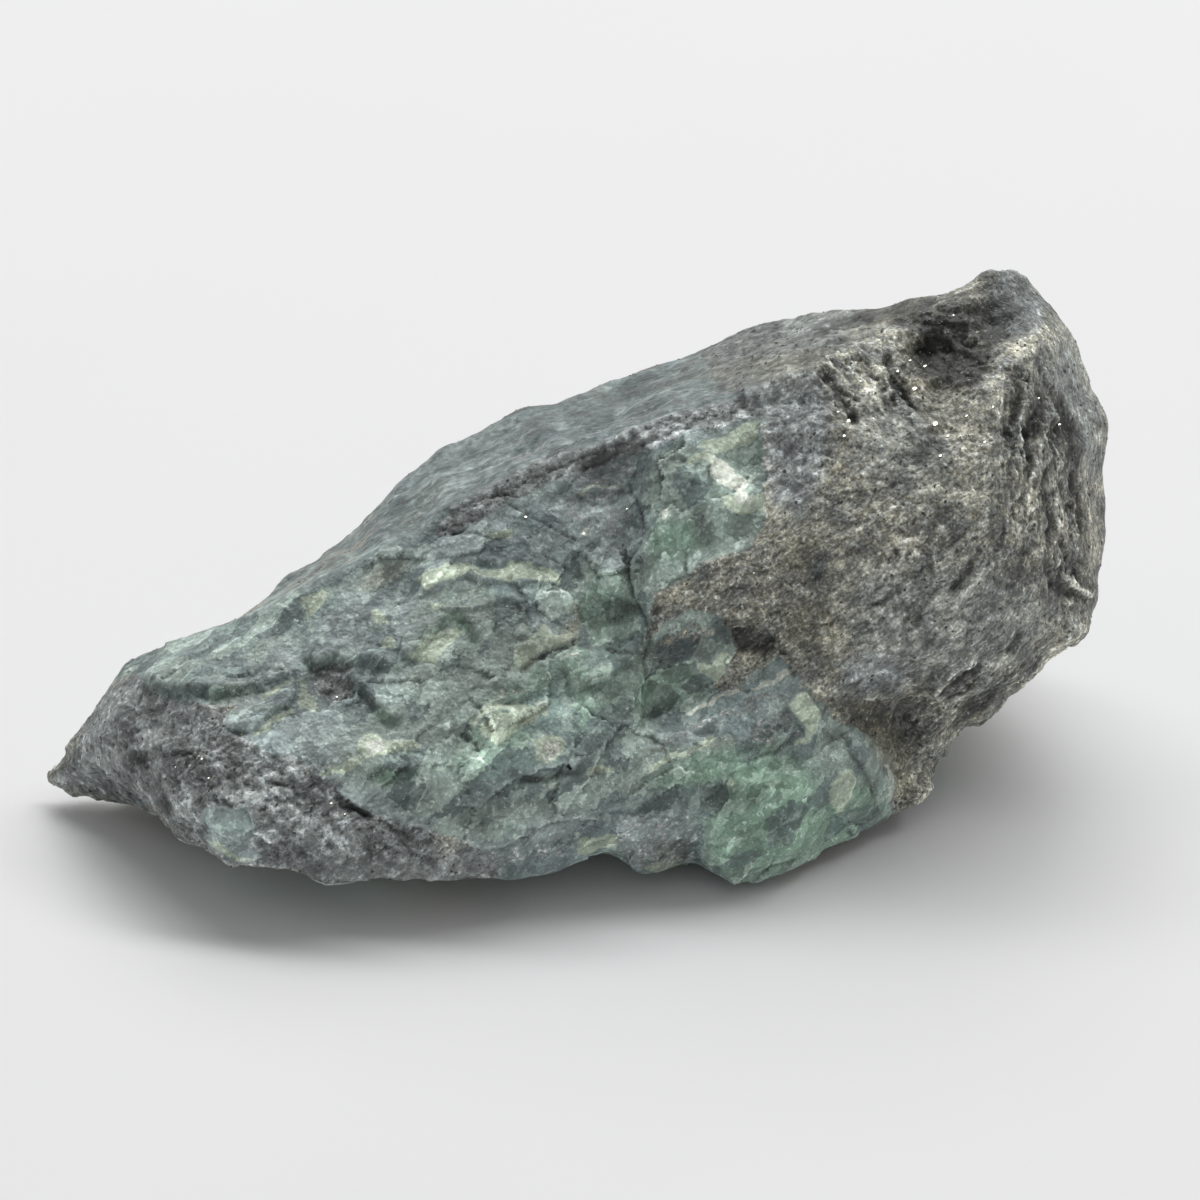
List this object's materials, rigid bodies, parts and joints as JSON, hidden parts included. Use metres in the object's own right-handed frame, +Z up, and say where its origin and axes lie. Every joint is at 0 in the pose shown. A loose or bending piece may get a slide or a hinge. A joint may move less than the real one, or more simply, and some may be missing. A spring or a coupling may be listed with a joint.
{
  "type": "raw emerald in mica schist",
  "caption": "Rough wedge-shaped lump of grey-green emerald grown together with dark mica schist, lying on a small flat patch of its underside.",
  "frame": {"origin": "centre of the stone's box, on the surface it lies on", "axes": "+X along the stone from its low nose to its tall end, +Y away from the broad front face, +Z up"},
  "size_m": [0.091, 0.055, 0.0401],
  "materials": {
    "emerald_schist": "rough broken stone: grey-green emerald, pale in places, in dark mica schist with glinting flakes"
  },
  "bodies": {
    "root": {"raw_emerald": "emerald_schist"}
  },
  "joints": []
}
